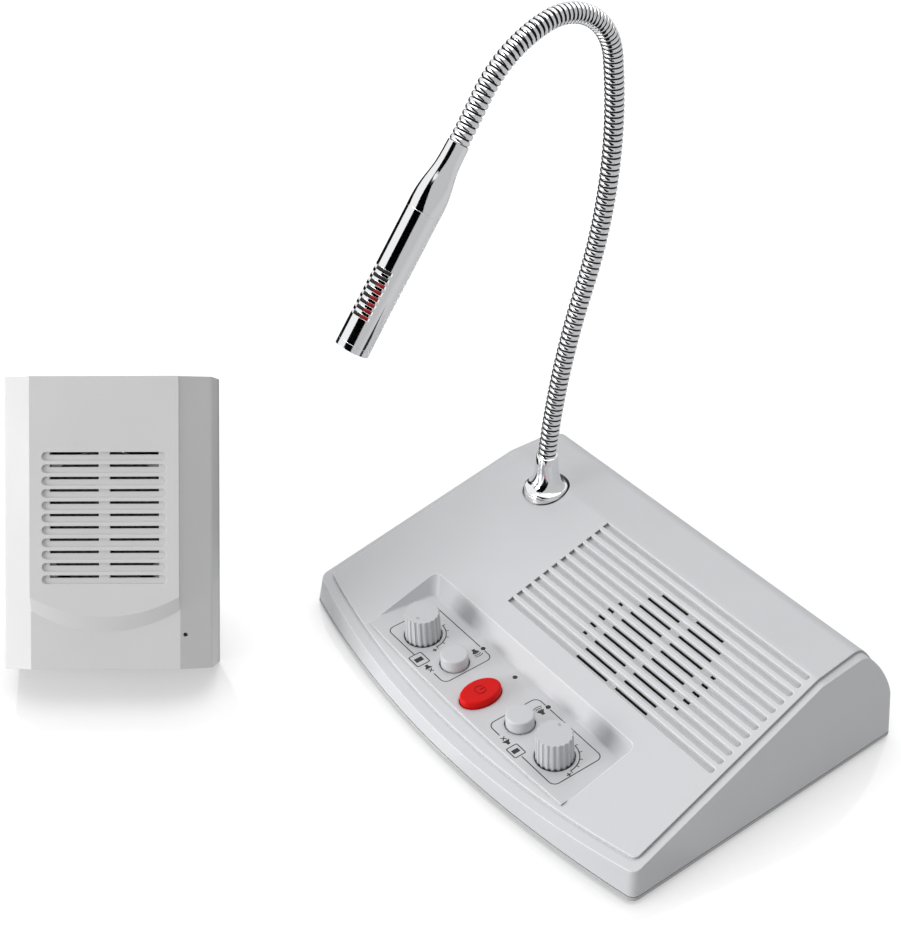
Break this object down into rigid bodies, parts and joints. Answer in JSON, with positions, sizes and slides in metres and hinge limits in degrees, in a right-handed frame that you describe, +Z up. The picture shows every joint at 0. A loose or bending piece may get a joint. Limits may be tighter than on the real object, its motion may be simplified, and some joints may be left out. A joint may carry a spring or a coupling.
{
  "type": "window intercom",
  "caption": "Desk intercom for a service window: a sloping console with knobs, push buttons and a gooseneck microphone, and a speaker unit that leans on a desk strip for the other side.",
  "frame": {"origin": "on the counter under the middle of the whole set's bounding box", "axes": "+Z up from the counter, +Y away from the teller across the console, +X to the teller's right"},
  "size_m": [0.3186, 0.2858, 0.2724],
  "materials": {
    "case_silver": "satin silver lacquer on moulded plastic",
    "tray_grey": "moulded grey plastic, fine matt grain",
    "foot_rubber": "matt black rubber",
    "screw_steel": "zinc-plated steel",
    "board_green": "glass-fibre circuit board with green mask",
    "black_plastic": "black moulded plastic",
    "shaft_metal": "turned aluminium",
    "knob_silver": "satin silver plastic",
    "button_silver": "silver plastic with a low gloss",
    "power_red": "red gloss plastic",
    "led_clear": "dark tinted clear plastic",
    "can_metal": "sleeved aluminium can",
    "sink_metal": "bare extruded aluminium",
    "connector_white": "cream nylon",
    "speaker_steel": "pressed steel",
    "cone_paper": "black doped paper",
    "magnet_ferrite": "matt ferrite",
    "cloth_black": "thin black acoustic cloth",
    "chrome": "polished chrome plate",
    "neck_chrome": "polished ribbed metal",
    "lining_red": "red lining",
    "lead_black": "black insulated wire"
  },
  "bodies": {
    "base": {"top_case": "case_silver", "bottom_tray": "tray_grey", "rubber_feet": "foot_rubber", "case_screws": "screw_steel", "control_board": "board_green", "volume_pots": "black_plastic", "push_switches": "black_plastic", "indicator_leds": "led_clear", "main_board": "board_green", "capacitors": "can_metal", "amplifier_chip": "black_plastic", "heat_sink": "sink_metal", "board_connectors": "connector_white", "power_socket": "black_plastic", "jack_sockets": "black_plastic", "speaker_cloth": "cloth_black", "speaker_gasket": "foot_rubber", "speaker_basket": "speaker_steel", "speaker_cone": "cone_paper", "speaker_magnet": "magnet_ferrite", "speaker_clamps": "speaker_steel", "board_screws": "screw_steel", "ferrule": "chrome", "ferrule_fixings": "screw_steel", "microphone_lead": "lead_black", "speaker_lead": "lead_black", "board_link_lead": "lead_black", "unit_front": "case_silver", "unit_back": "tray_grey", "unit_board": "board_green", "unit_screws": "screw_steel", "unit_socket": "black_plastic", "unit_mic_boot": "foot_rubber", "unit_mic_capsule": "shaft_metal", "unit_speaker_cloth": "cloth_black", "unit_speaker_basket": "speaker_steel", "unit_speaker_cone": "cone_paper", "unit_speaker_magnet": "magnet_ferrite", "unit_speaker_clamps": "speaker_steel", "unit_stand": "speaker_steel"},
    "left_volume": {"left_knob": "knob_silver", "left_pot_shaft": "shaft_metal"},
    "right_volume": {"right_knob": "knob_silver", "right_pot_shaft": "shaft_metal"},
    "left_key": {"left_button": "button_silver", "left_plunger": "black_plastic"},
    "right_key": {"right_button": "button_silver", "right_plunger": "black_plastic"},
    "power_key": {"power_button": "power_red", "power_plunger": "black_plastic"},
    "neck_lower": {"neck_lower": "neck_chrome"},
    "neck_middle": {"neck_middle": "neck_chrome"},
    "neck_arch": {"neck_arch": "neck_chrome"},
    "neck_tip": {"neck_tip": "neck_chrome", "mic_cone": "chrome", "mic_barrel": "chrome", "mic_end_ring": "chrome", "mic_lining": "lining_red", "mic_capsule": "shaft_metal", "mic_screen": "cloth_black"}
  },
  "joints": [
    {"name": "left_volume_turn", "type": "hinge", "parent": "base", "child": "left_volume", "pos_m": [0.00393, 0.01039, 0.01774], "axis": [0, 0.0443, -0.999], "range_deg": [-298, 2]},
    {"name": "right_volume_turn", "type": "hinge", "parent": "base", "child": "right_volume", "pos_m": [0.09463, 0.01039, 0.01774], "axis": [0, 0.0443, -0.999], "range_deg": [-124, 176]},
    {"name": "left_key_press", "type": "slide", "parent": "base", "child": "left_key", "axis": [0, 0.0443, -0.999], "range_m": [0, 0.001], "stiffness_N_per_m": 1200, "springref_m": -0.0008},
    {"name": "right_key_press", "type": "slide", "parent": "base", "child": "right_key", "axis": [0, 0.0443, -0.999], "range_m": [0, 0.001], "stiffness_N_per_m": 1200, "springref_m": -0.0008},
    {"name": "power_key_press", "type": "slide", "parent": "base", "child": "power_key", "axis": [0, 0.0443, -0.999], "range_m": [0, 0.001], "stiffness_N_per_m": 1200, "springref_m": -0.0008},
    {"name": "neck_base_bend", "type": "hinge", "parent": "base", "child": "neck_lower", "pos_m": [-0.01822, 0.09425, 0.0639], "axis": [1, 0, 0], "range_deg": [-15, 15]},
    {"name": "neck_swing", "type": "hinge", "parent": "neck_lower", "child": "neck_middle", "pos_m": [-0.01822, 0.11166, 0.14515], "axis": [0, -0.9478, 0.319], "range_deg": [-20, 20]},
    {"name": "neck_bend", "type": "hinge", "parent": "neck_middle", "child": "neck_arch", "pos_m": [-0.01822, 0.12113, 0.24317], "axis": [1, 0, 0], "range_deg": [-20, 20]},
    {"name": "neck_tip_bend", "type": "hinge", "parent": "neck_arch", "child": "neck_tip", "pos_m": [-0.01822, 0.05449, 0.24183], "axis": [1, 0, 0], "range_deg": [-20, 20]}
  ]
}
